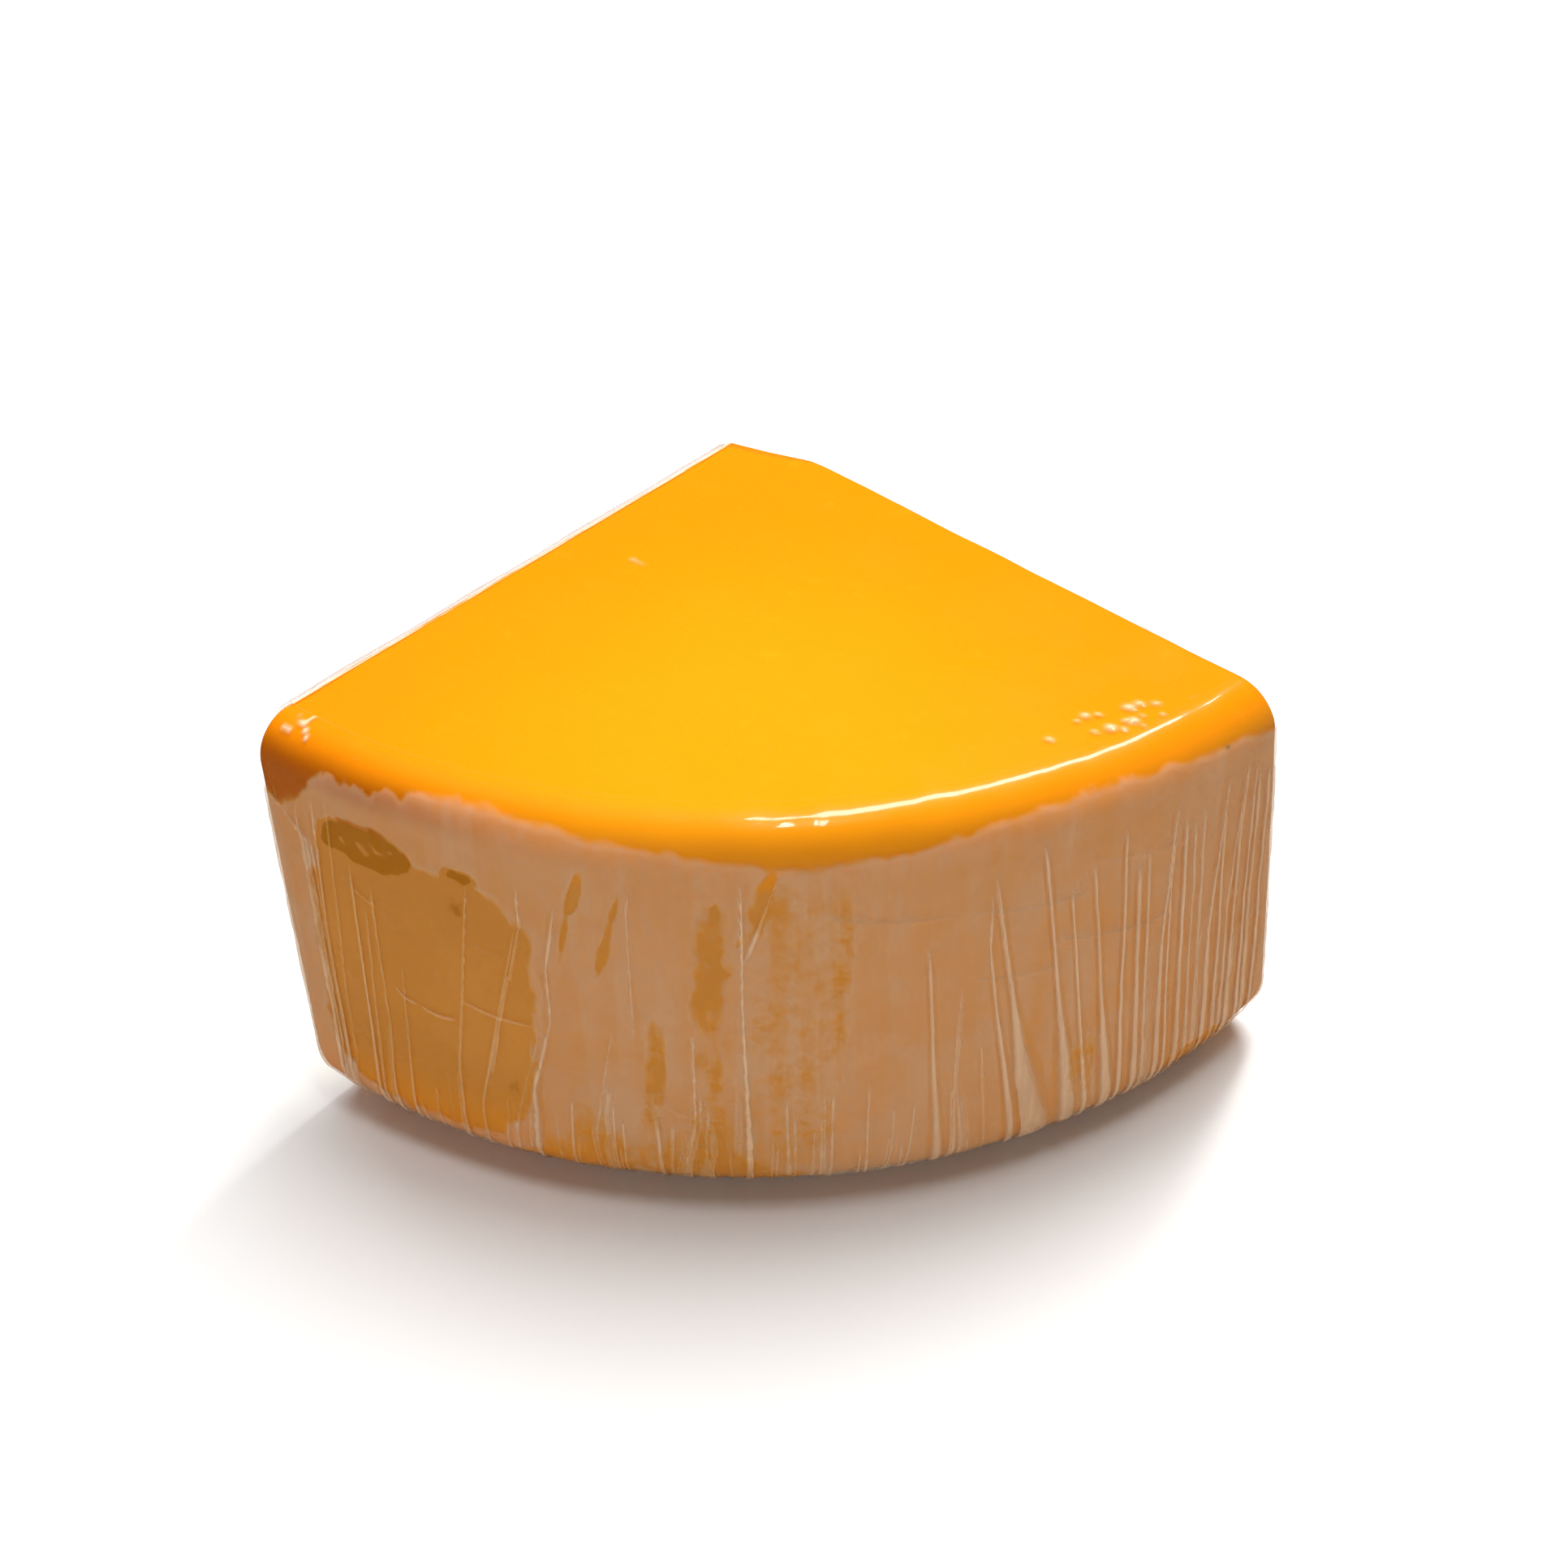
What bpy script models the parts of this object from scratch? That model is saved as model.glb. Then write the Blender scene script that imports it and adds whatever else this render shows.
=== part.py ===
"""Cling-wrapped wedge of Gouda-type cheese, cut from a wheel with a yellow plastic rind coating.

Three bodies lie one inside the other: the pale cheese, the rind coating that stays on the wheel's
top, side and base, and the clear film that is wrapped round everything and gathered under the base.

Frame: metres, +Z up, the wedge rests on z = 0. The curved rind faces -Y and the cut-off tip +Y.
The origin is the middle of the bounding box in X and Y.
"""

from math import cos, pi, radians, sin, tan

import bmesh
import bpy
from mathutils import Matrix, Vector

# The wheel and the cuts that make the wedge
WHEEL_RADIUS = 0.175
WHEEL_HEIGHT = 0.120
TOP_SHOULDER = 0.011             # radius between the top face and the side
BOTTOM_SHOULDER = 0.021          # radius between the side and the base
WEDGE_ANGLE = radians(84.0)
LEFT_CUT_LEAN = radians(1.4)     # the left cut runs inwards on its way down
RIGHT_CUT_LEAN = radians(-9.0)   # the right cut runs outwards on its way down
TIP_TRIM_LEFT = 0.009            # length lost from the wedge's point, along the left cut
TIP_TRIM_RIGHT = 0.025           # and along the right cut

# The layers, from the outside in
FILM_THICKNESS = 0.0004
COATING_THICKNESS = 0.0012
GAP = 0.0003                     # air between two layers
CUT_INSET = FILM_THICKNESS + GAP
COATING_INSET = FILM_THICKNESS + GAP
CHEESE_INSET = COATING_INSET + COATING_THICKNESS + GAP
BASE_OPENING_SHARE = 0.32        # size of the base's bare middle, where the film's edges gather
BASE_OPENING_CENTRE = Vector((0.003, -0.100))

# Mesh fineness
ARC_STEPS = 30
SHOULDER_STEPS = 5


def side_profile(inset):
    """Radius and height of points up the side, from the base's flat part to the top's."""
    bottom_centre = Vector((WHEEL_RADIUS - BOTTOM_SHOULDER, BOTTOM_SHOULDER))
    top_centre = Vector((WHEEL_RADIUS - TOP_SHOULDER, WHEEL_HEIGHT - TOP_SHOULDER))
    points = []
    for centre, radius, start in ((bottom_centre, BOTTOM_SHOULDER - inset, -pi / 2),
                                  (top_centre, TOP_SHOULDER - inset, 0.0)):
        for step in range(SHOULDER_STEPS + 1):
            angle = start + pi / 2 * step / SHOULDER_STEPS
            points.append(centre + radius * Vector((cos(angle), sin(angle))))
    return points


def lines_meet(point_a, along_a, point_b, along_b):
    """The point in plan where two lines cross."""
    return point_a + along_a * (point_b - point_a).cross(along_b) / along_a.cross(along_b)


def cut_line(side, z, inset):
    """A cut plane's line in plan at height z, moved in by the inset: its nearest point and its way out."""
    angle = -pi / 2 + side * WEDGE_ANGLE / 2
    lean = RIGHT_CUT_LEAN if side > 0 else LEFT_CUT_LEAN
    along = Vector((cos(angle), sin(angle)))
    inwards = Vector((side * along.y, -side * along.x))
    offset = (WHEEL_HEIGHT - z) * tan(lean) + inset / cos(lean)
    return inwards * offset, along


def rim_point(z, radius, inset, share):
    """A point on the arc of this radius: share is 0 at the left cut and 1 at the right."""
    angles = []
    for side in (-1, 1):
        foot, along = cut_line(side, z, inset)
        end = foot + along * (radius ** 2 - foot.length_squared) ** 0.5
        angles.append(Vector((0.0, -1.0)).angle_signed(end))
    angle = angles[0] + (angles[1] - angles[0]) * share
    return Vector((-sin(angle), -cos(angle))) * radius


def tip_point(z, inset, share):
    """A point across the cut-off tip: share is 0 at the left cut and 1 at the right."""
    left_along = cut_line(-1, WHEEL_HEIGHT, 0.0)[1]
    right_along = cut_line(1, WHEEL_HEIGHT, 0.0)[1]
    start = left_along * TIP_TRIM_LEFT
    across = (right_along * TIP_TRIM_RIGHT - start).normalized()
    start = start + Vector((across.y, -across.x)) * inset
    ends = [lines_meet(start, across, *cut_line(side, z, inset)) for side in (-1, 1)]
    return ends[0].lerp(ends[1], share)


def outline(z, radius, inset):
    """The wedge's closed outline at one height: along the rim from left to right, then the tip."""
    plan = [rim_point(z, radius, inset, step / ARC_STEPS) for step in range(ARC_STEPS + 1)]
    plan += [tip_point(z, inset, 1.0), tip_point(z, inset, 0.0)]
    return [Vector((point.x, point.y, z)) for point in plan]


def join_rings(bm, rings):
    """A band of faces between each ring of vertices and the next, all with the same count."""
    for low, high in zip(rings, rings[1:]):
        for i in range(len(low)):
            j = (i + 1) % len(low)
            bm.faces.new((low[i], low[j], high[j], high[i]))


def add_rings(bm, rings):
    return [[bm.verts.new(point) for point in ring] for ring in rings]


def cheese_mesh(bm):
    """The whole cut wedge of paste, one solid, flat where the knife went."""
    profile = side_profile(CHEESE_INSET)
    rings = add_rings(bm, [outline(z, radius, CUT_INSET) for radius, z in profile])
    join_rings(bm, rings)
    bm.faces.new(reversed(rings[0]))
    bm.faces.new(rings[-1])


def coating_mesh(bm):
    """A thin skin under the base, up the side and over the top, cut flush with the cheese."""
    columns = []
    for step in range(ARC_STEPS + 1):
        share = step / ARC_STEPS
        loop = []
        for inset in (COATING_INSET, COATING_INSET + COATING_THICKNESS):
            profile = side_profile(inset)
            base_z, top_z = profile[0].y, profile[-1].y
            skin = [tip_point(base_z, CUT_INSET, share).to_3d() + Vector((0, 0, base_z))]
            for radius, z in profile:
                skin.append(rim_point(z, radius, CUT_INSET, share).to_3d() + Vector((0, 0, z)))
            skin.append(tip_point(top_z, CUT_INSET, share).to_3d() + Vector((0, 0, top_z)))
            loop += skin if not loop else skin[::-1]
        columns.append(loop)
    columns = add_rings(bm, columns)
    join_rings(bm, columns[::-1])
    half = len(columns[0]) // 2
    for column, way in ((columns[0], 1), (columns[-1], -1)):
        for i in range(half - 1):
            quad = (column[i], column[i + 1], column[-2 - i], column[-1 - i])
            bm.faces.new(quad[::way])


def film_mesh(bm):
    """The wrapping: one thin closed wall, with an opening in the base where its edges gather."""
    rows = []
    for inset, way in ((0.0, -1), (FILM_THICKNESS, 1)):
        skin = [outline(z, radius, inset) for radius, z in side_profile(inset)]
        middle = BASE_OPENING_CENTRE.to_3d() + Vector((0, 0, inset))
        opening = [middle.lerp(point, BASE_OPENING_SHARE) for point in skin[0]]
        rows += [opening, *skin][::way]
    rings = add_rings(bm, rows[::-1])
    join_rings(bm, rings)
    bm.faces.new(reversed(rings[0]))
    bm.faces.new(rings[-1])


def material(name, colour, roughness, alpha=1.0):
    made = bpy.data.materials.new(name)
    made.use_nodes = True
    shader = made.node_tree.nodes["Principled BSDF"]
    shader.inputs["Base Color"].default_value = (*colour, 1.0)
    shader.inputs["Roughness"].default_value = roughness
    shader.inputs["Alpha"].default_value = alpha
    return made


def add_part(name, fill_mesh, look):
    """One closed body, its shoulders shaded smooth and its cut edges sharp."""
    bm = bmesh.new()
    fill_mesh(bm)
    bmesh.ops.transform(bm, matrix=Matrix.Translation(CENTRING), verts=bm.verts)
    bmesh.ops.recalc_face_normals(bm, faces=bm.faces)
    mesh = bpy.data.meshes.new(name)
    bm.to_mesh(mesh)
    bm.free()
    mesh.materials.append(look)
    mesh.shade_smooth()
    mesh.set_sharp_from_angle(angle=radians(30))
    part = bpy.data.objects.new(name, mesh)
    bpy.context.collection.objects.link(part)
    return part


def box_centring():
    """The move that brings the middle of the film's bounding box over the origin."""
    points = [point for radius, z in side_profile(0.0) for point in outline(z, radius, 0.0)]
    middle = [(min(p[axis] for p in points) + max(p[axis] for p in points)) / 2 for axis in (0, 1)]
    return Vector((-middle[0], -middle[1], 0.0))


for old in list(bpy.data.objects):
    bpy.data.objects.remove(old)

CENTRING = box_centring()
add_part("cheese", cheese_mesh, material("pale_cheese", (0.87, 0.70, 0.36), 0.5))
add_part("rind_coating", coating_mesh, material("yellow_coating", (0.90, 0.42, 0.03), 0.35))
add_part("cling_film", film_mesh, material("clear_film", (0.95, 0.93, 0.90), 0.1, alpha=0.25))
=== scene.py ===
from math import cos, pi, radians, sin, tan

import bpy
import numpy as np
from mathutils import Matrix, Vector


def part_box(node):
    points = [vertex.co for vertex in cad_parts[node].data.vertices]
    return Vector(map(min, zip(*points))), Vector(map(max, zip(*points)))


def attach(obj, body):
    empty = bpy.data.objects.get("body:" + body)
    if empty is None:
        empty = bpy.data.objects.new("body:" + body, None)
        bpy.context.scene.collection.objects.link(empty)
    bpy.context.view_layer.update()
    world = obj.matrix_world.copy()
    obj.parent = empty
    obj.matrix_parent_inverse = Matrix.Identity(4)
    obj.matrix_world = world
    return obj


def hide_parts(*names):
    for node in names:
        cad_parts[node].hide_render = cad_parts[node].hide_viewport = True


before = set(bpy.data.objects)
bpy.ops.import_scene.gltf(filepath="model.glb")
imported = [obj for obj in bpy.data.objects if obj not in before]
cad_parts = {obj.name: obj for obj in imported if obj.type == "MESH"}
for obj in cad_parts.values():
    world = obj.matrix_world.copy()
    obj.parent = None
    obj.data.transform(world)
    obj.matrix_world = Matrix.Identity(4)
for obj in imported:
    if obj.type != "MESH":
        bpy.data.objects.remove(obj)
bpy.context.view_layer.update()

# ---- The wedge, in metres, as the CAD has it ---------------------------------------------------
LOW, HIGH = (np.array(corner, float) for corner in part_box("cling_film"))
HEIGHT = HIGH[2] - LOW[2]
WHEEL_RADIUS = 0.175
TOP_SHOULDER = 0.011
BOTTOM_SHOULDER = 0.021
WEDGE_ANGLE = radians(84.0)
CUT_LEAN = {-1: radians(1.4), 1: radians(-9.0)}      # left and right cut
TIP_TRIM = {-1: 0.009, 1: 0.025}
APEX = np.array([-0.0057, LOW[1] + WHEEL_RADIUS, 0.0])   # the wheel's centre
EDGE_ROUNDING = 0.0013
SHARP = 0.0003                   # rounding of edges that the knife left
BASE_CENTRE = np.array([0.003, -0.100])              # of the film's opening, from the wheel's centre
OPENING_SHARE = 0.32

# ---- The layers' depths below the CAD's outside ------------------------------------------------
FILM_DEPTH = 0.00010
FILM_WALL = 0.00010
COATING_DEPTH = 0.00030
COATING_WALL = 0.0012
CHEESE_DEPTH = COATING_DEPTH + COATING_WALL + 0.0002


# ---- Small maths -------------------------------------------------------------------------------
def smooth_step(low, high, x):
    """Turns smoothly from 0 to 1 as x goes from low to high, either of which may be the larger."""
    t = np.clip((x - low) / (high - low), 0.0, 1.0)
    return t * t * (3 - 2 * t)


def soft_max(a, b, width):
    """The larger of two numbers, rounded over where they are less than this width apart."""
    h = np.clip(0.5 + 0.5 * (a - b) / width, 0.0, 1.0)
    return b + (a - b) * h + width * h * (1 - h)


WAVE_COUNT = 18                  # cosines that are added up in one piece of smooth noise


def random_waves(points, size, seed):
    """Smooth noise of mean 0 and deviation about 1, with features of about this size in metres."""
    rng = np.random.default_rng(seed)
    directions = rng.normal(size=(WAVE_COUNT, points.shape[-1]))
    directions /= np.linalg.norm(directions, axis=1, keepdims=True)
    rates = 2 * pi / size * rng.uniform(0.5, 1.2, WAVE_COUNT)
    phases = rng.uniform(0, 2 * pi, WAVE_COUNT)
    total = np.zeros(points.shape[:-1])
    for direction, rate, phase in zip(directions, rates, phases):
        total += np.cos(points @ direction * rate + phase)
    return total * (2 / WAVE_COUNT) ** 0.5


def cloudy(points, size, seed):
    """Random waves at three sizes, the finer ones weaker."""
    return sum(random_waves(points, size / 2.3 ** k, seed + k) * 0.55 ** k for k in range(3)) / 1.2


# ---- The wedge's form --------------------------------------------------------------------------
def cut_line(side, z, inset=0.0):
    """A cut plane's line in plan at each height z: its foot, its direction outwards, and its inner side."""
    angle = -pi / 2 + side * WEDGE_ANGLE / 2
    along = np.array([cos(angle), sin(angle)])
    inwards = np.array([side * along[1], -side * along[0]])
    offset = (HEIGHT - z) * tan(CUT_LEAN[side]) + inset / cos(CUT_LEAN[side])
    return np.multiply.outer(offset, inwards), along, inwards


def tip_line(inset):
    """The cut-off tip's line in plan: a point on it, its direction, and its inner side."""
    left, right = (cut_line(side, np.array(HEIGHT))[1] * TIP_TRIM[side] for side in (-1, 1))
    across = (right - left) / np.linalg.norm(right - left)
    inwards = np.array([across[1], -across[0]])
    return left + inwards * inset, across, inwards


def depth(points, body_inset, cut_inset, rounding):
    """How far each point is outside a wedge this much smaller, with rounded edges; negative inside."""
    p = points - APEX
    radius, z = np.hypot(p[..., 0], p[..., 1]), p[..., 2]

    def corner(beyond_rim, beyond_face, shoulder):
        a, b = beyond_rim + shoulder, beyond_face + shoulder
        outside = np.hypot(np.maximum(a, 0), np.maximum(b, 0))
        return np.minimum(np.maximum(a, b), 0) + outside - shoulder

    body = np.maximum(corner(radius - WHEEL_RADIUS, z - HEIGHT, TOP_SHOULDER),
                      corner(radius - WHEEL_RADIUS, -z, BOTTOM_SHOULDER))
    body = body + body_inset
    for side in (-1, 1):
        foot, _, inwards = cut_line(side, z, cut_inset)
        beyond = -((p[..., :2] - foot) @ inwards) * cos(CUT_LEAN[side])
        body = soft_max(body, beyond, rounding)
    start, _, inwards = tip_line(cut_inset)
    return soft_max(body, -((p[..., :2] - start) @ inwards), rounding)


def settle(points, *form):
    """The points moved onto the form's rounded surface, and their unit normals."""
    step = 2e-5

    def outwards():
        slope = np.stack([depth(points + step * axis, *form) - depth(points - step * axis, *form)
                          for axis in np.eye(3)], -1)
        return slope / np.linalg.norm(slope, axis=-1, keepdims=True)

    for _ in range(4):
        points = points - outwards() * depth(points, *form)[..., None]
    return points, outwards()


def outline(z, radius, rim, cut, tip, inset):
    """Rings round the wedge at heights z: rim left to right, right cut, tip, left cut."""
    ends = {}
    for side in (-1, 1):
        foot, along, _ = cut_line(side, z, inset)
        reach = np.sqrt(radius ** 2 - (foot ** 2).sum(-1))
        ends[side] = foot + reach[:, None] * along
    angles = [np.arctan2(ends[side][:, 0], -ends[side][:, 1]) for side in (-1, 1)]
    share = np.linspace(0, 1, rim)[None, :]
    angle = angles[0][:, None] * (1 - share) + angles[1][:, None] * share
    arc = np.stack([np.sin(angle), -np.cos(angle)], -1) * radius[:, None, None]
    start, across, _ = tip_line(inset)
    tips = {}
    for side in (-1, 1):
        foot, along, _ = cut_line(side, z, inset)
        gap = foot - start
        travel = (gap[:, 0] * along[1] - gap[:, 1] * along[0]) / (across[0] * along[1] - across[1] * along[0])
        tips[side] = start + travel[:, None] * across

    def run(a, b, count):
        t = np.linspace(0, 1, count, endpoint=False)[None, 1:, None]
        return a[:, None] * (1 - t) + b[:, None] * t

    pieces = [arc, run(ends[1], tips[1], cut), tips[1][:, None], run(tips[1], tips[-1], tip),
              tips[-1][:, None], run(tips[-1], ends[-1], cut)]
    plan = np.concatenate(pieces, axis=1)
    ring = np.concatenate([plan, np.broadcast_to(z[:, None, None], plan.shape[:2] + (1,))], -1)
    return ring + APEX


def profile(wall_steps, shoulder_steps, inset):
    """Radius and height of rows up the side, from the base's flat to the top's."""
    turn = np.linspace(0, pi / 2, shoulder_steps + 1)
    low, high = BOTTOM_SHOULDER - inset, TOP_SHOULDER - inset
    low_r = WHEEL_RADIUS - BOTTOM_SHOULDER + low * np.sin(turn)
    low_z = BOTTOM_SHOULDER - low * np.cos(turn)
    high_r = WHEEL_RADIUS - TOP_SHOULDER + high * np.cos(turn)
    high_z = HEIGHT - TOP_SHOULDER + high * np.sin(turn)
    wall_z = np.linspace(BOTTOM_SHOULDER, HEIGHT - TOP_SHOULDER, wall_steps + 1)[1:-1]
    radius = np.concatenate([low_r, np.full(len(wall_z), WHEEL_RADIUS - inset), high_r])
    return radius, np.concatenate([low_z, wall_z, high_z])


def stretches(*parts):
    """Rising shares: each part gives its start, its end and its count of steps."""
    return np.concatenate([np.linspace(start, end, count, endpoint=False) for start, end, count in parts])


def wedge_rows(body_inset, cut_inset, grid, base_shares, top_shares):
    """Rows of points over the wedge: out over the base, up the side, in over the top."""
    radius, z = profile(grid["wall"], grid["shoulder"], body_inset)
    side = outline(z, radius, grid["rim"], grid["cut"], grid["tip"], cut_inset)
    centre = APEX + np.append(BASE_CENTRE, z[0])
    base = centre + (side[0] - centre) * base_shares[:, None, None]
    top_centre = APEX + np.append(BASE_CENTRE, z[-1])
    top = top_centre + (side[-1] - top_centre) * top_shares[::-1, None, None]
    return np.concatenate([base, side, top])


# ---- Meshes ------------------------------------------------------------------------------------
def ring_faces(rows, count):
    """Quads between neighbouring rings of the same count, numbered row by row."""
    low = np.arange(rows - 1)[:, None] * count + np.arange(count)[None, :]
    nxt = np.arange(rows - 1)[:, None] * count + (np.arange(count)[None, :] + 1) % count
    return np.stack([low, nxt, nxt + count, low + count], -1).reshape(-1, 4)


def make_piece(name, points, quads, caps=(), layers=None):
    """A mesh object from points, quads and a few larger faces, with number layers on its points."""
    mesh = bpy.data.meshes.new(name)
    faces = [tuple(face) for face in quads.tolist()] + [tuple(cap) for cap in caps]
    mesh.from_pydata(points.tolist(), [], faces)
    for layer, values in (layers or {}).items():
        mesh.attributes.new(layer, "FLOAT", "POINT").data.foreach_set("value", values.astype(np.float32))
    mesh.shade_smooth()
    mesh.validate()
    piece = bpy.data.objects.new(name, mesh)
    bpy.context.collection.objects.link(piece)
    return piece


def closed_rows(rows):
    """Points and faces of a solid whose outside is these rings, closed by a fan at each end."""
    count = rows.shape[1]
    points = np.concatenate([rows.reshape(-1, 3), rows[0].mean(0)[None], rows[-1].mean(0)[None]])
    quads = ring_faces(rows.shape[0], count)
    first, last = len(points) - 2, len(points) - 1
    offset = (rows.shape[0] - 1) * count
    fans = [(first, (i + 1) % count, i) for i in range(count)]
    fans += [(last, offset + i, offset + (i + 1) % count) for i in range(count)]
    return points, quads, fans


# ---- Places on the wrapping ----------------------------------------------------------------------
FAR_FROM_EDGE = 30.0             # mm: stands for any place away from the left cut's top edge


class Places:
    """Where each point of a grid of rows lies: along the wedge's girth, up it, and on which face."""

    def __init__(self, rows, grid, base_count, top_count):
        plan = rows[..., :2] - APEX[:2]
        rim, cut = grid["rim"], grid["cut"]
        self.z = rows[..., 2]
        index = np.arange(rows.shape[1])
        on_rim = index < rim
        on_right = (index >= rim) & (index < rim + cut)
        on_tip = (index >= rim + cut - 1) & (index <= rim + cut + grid["tip"])
        self.tip = np.broadcast_to(on_tip, self.z.shape)
        from_right = np.linalg.norm(rows - rows[:, rim - 1:rim], axis=-1)
        from_left = np.linalg.norm(rows - rows[:, :1], axis=-1)
        self.from_corner = np.minimum(from_left, from_right)
        arc = np.arctan2(plan[..., 0], -plan[..., 1]) * WHEEL_RADIUS
        self.girth = np.where(on_rim, arc, np.where(on_right, arc[:, rim - 1:rim] + from_right,
                                                    arc[:, :1] - from_left))
        self.rim = np.broadcast_to(on_rim, self.z.shape)
        row = np.arange(rows.shape[0])[:, None]
        self.base = np.broadcast_to(row < base_count, self.z.shape)
        self.top = np.broadcast_to(row >= rows.shape[0] - top_count, self.z.shape)
        # Each row's height, which runs on below the edge, towards the middle of the base
        below = np.linalg.norm(rows - rows[base_count], axis=-1)[:, :rim].mean(1)
        self.drop = np.where(row[:, 0] < base_count, -below, rows[:, :rim, 2].mean(1))
        foot, _, inwards = cut_line(-1, np.minimum(self.z, HEIGHT))
        from_left_cut = ((plan - foot) @ inwards) * 1000
        on_left = (index >= rim + cut + grid["tip"]) | (index == 0)
        on_left = np.broadcast_to(on_left, self.z.shape)
        down_left_cut = np.where(on_left, (HEIGHT - self.z) * 1000, FAR_FROM_EDGE)
        self.past_edge = np.where(self.top, from_left_cut, -down_left_cut)


def at_rim(degrees):
    return radians(degrees) * WHEEL_RADIUS


# Folds in the film down the rind: azimuth and height in mm at the top and near the bottom, weight (a
# fold shows fully from FULL_FOLD up), half width in mm, and how many times wider it fans out below.
# The main folds' ends were picked in the photo, turned into azimuth and height with the fitted camera and
# then adjusted. The others were given one by one.
FULL_FOLD = 0.5
CHOSEN_FOLDS = [
    (-41.6, 104, -41.9, 22, 0.45, 0.45, 1.0),
    (-40.3, 106, -40.9, 20, 0.50, 0.40, 1.2),
    (-39.2, 100, -40.0, 30, 0.35, 0.35, 1.2),
    (-38.0, 104, -40.0, 14, 0.50, 0.40, 1.4),
    (-37.2, 96, -38.6, 26, 0.40, 0.35, 1.2),
    (-36.2, 108, -38.0, 12, 0.50, 0.40, 1.2),
    (-34.8, 110, -36.6, 16, 0.30, 0.35, 1.2),
    (-33.4, 92, -34.0, 14, 0.55, 0.40, 1.2),
    (-32.4, 80, -33.4, 24, 0.35, 0.35, 1.2),
    (-31.6, 88, -32.4, 10, 0.45, 0.40, 1.4),
    (-29.6, 66, -30.6, 12, 0.45, 0.35, 1.2),
    (-22.8, 99, -26.4, 18, 0.45, 0.40, 1.2),
    (-20.8, 101, -23.9, 34, 0.40, 0.50, 1.0),
    (-19.2, 88, -25.2, 8, 0.55, 0.45, 1.8),
    (-17.8, 60, -21.6, 16, 0.25, 0.35, 1.4),
    (-15.9, 98, -21.4, 6, 0.80, 0.50, 2.4),
    (-12.4, 60, -14.6, 20, 0.20, 0.35, 1.4),
    (-10.4, 104, -13.0, 58, 0.25, 0.35, 1.0),
    (-7.4, 62, -7.9, 8, 0.55, 0.45, 4.0),
    (0.4, 109, -2.2, 84, 0.40, 0.40, 1.0),
    (-2.9, 108, -2.0, 6, 0.75, 0.40, 5.0),
    (0.6, 40, 0.9, 6, 0.30, 0.40, 2.6),
    (11.2, 84, 12.8, 8, 0.40, 0.40, 2.4),
    (13.0, 70, 14.8, 10, 0.25, 0.35, 1.6),
    (15.2, 96, 19.4, 6, 0.45, 0.40, 2.2),
    (16.0, 102, 21.2, 5, 1.00, 0.52, 9.0),
    (19.8, 108, 24.6, 6, 0.90, 0.42, 5.0),
    (22.4, 92, 25.6, 18, 0.45, 0.35, 1.6),
    (24.2, 98, 28.2, 6, 0.75, 0.42, 3.6),
]
PLEATS_FROM, PLEATS_TO = 26.8, 41.8     # upright pleats, closer together towards the right cut
PLEATS = 15
LEAST_GAP = 0.0006               # between two folds that run together
ENDS_ABOVE = 29                  # mm: a fold whose lower end is above this fades out there


def rim_folds(rng):
    """All folds on the rind, as the chosen ones are written."""
    folds = list(CHOSEN_FOLDS)
    for step in range(PLEATS):
        place = step / (PLEATS - 1)
        azimuth = PLEATS_FROM + (PLEATS_TO - PLEATS_FROM) * place ** 0.9 + rng.uniform(-0.35, 0.35)
        top = 103 + 6 * place + rng.uniform(-12, 3)
        folds.append((azimuth, top, azimuth + 2.2 * (1 - place) + 3.0 * place, 10, rng.uniform(0.30, 0.70),
                      rng.uniform(0.35, 0.60), rng.uniform(1.2, 2.0)))
    for _ in range(54):
        azimuth = rng.uniform(-40, 44)
        if 17 < azimuth < 30:
            azimuth -= 28
        top = rng.uniform(14, 46) + 24 * (azimuth > 12) * rng.uniform()
        lean = rng.normal(0.02 * azimuth, 0.5)
        folds.append((azimuth - lean, top, azimuth, 2, rng.uniform(0.10, 0.32), rng.uniform(0.30, 0.45),
                      rng.uniform(1.2, 2.6)))
    for _ in range(18):
        azimuth = rng.uniform(-20, -3)
        folds.append((azimuth + rng.normal(0, 0.5), rng.uniform(18, 44), azimuth, 2, rng.uniform(0.3, 0.5),
                      rng.uniform(0.30, 0.45), rng.uniform(1.6, 3.2)))
    return [(at_rim(fold[0]), fold[1], at_rim(fold[2]), *fold[3:]) for fold in folds]


CUT_LENGTH = 0.150               # of the stretch of each cut face that has folds


def cut_folds(rng):
    """Folds on the hidden cut faces: gathers up from the base's edge and a few down from the top's."""
    folds = []
    for side in (-1, 1):
        corner = at_rim(43.5)
        for _ in range(28):
            along = corner + rng.uniform(0.01, 1.0) * CUT_LENGTH
            top = rng.uniform(14, 80)
            folds.append((side * along, top, side * (along + rng.normal(0, 0.005)), 0,
                          rng.uniform(0.15, 0.6), rng.uniform(0.35, 0.6), rng.uniform(1.2, 3.0)))
        for _ in range(8):
            along = corner + rng.uniform(0.05, 0.95) * CUT_LENGTH
            folds.append((side * along, 121, side * (along + rng.normal(0, 0.010)), 121 - rng.uniform(15, 60),
                          rng.uniform(0.12, 0.35), rng.uniform(0.35, 0.6), 1.0))
    return folds


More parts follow.
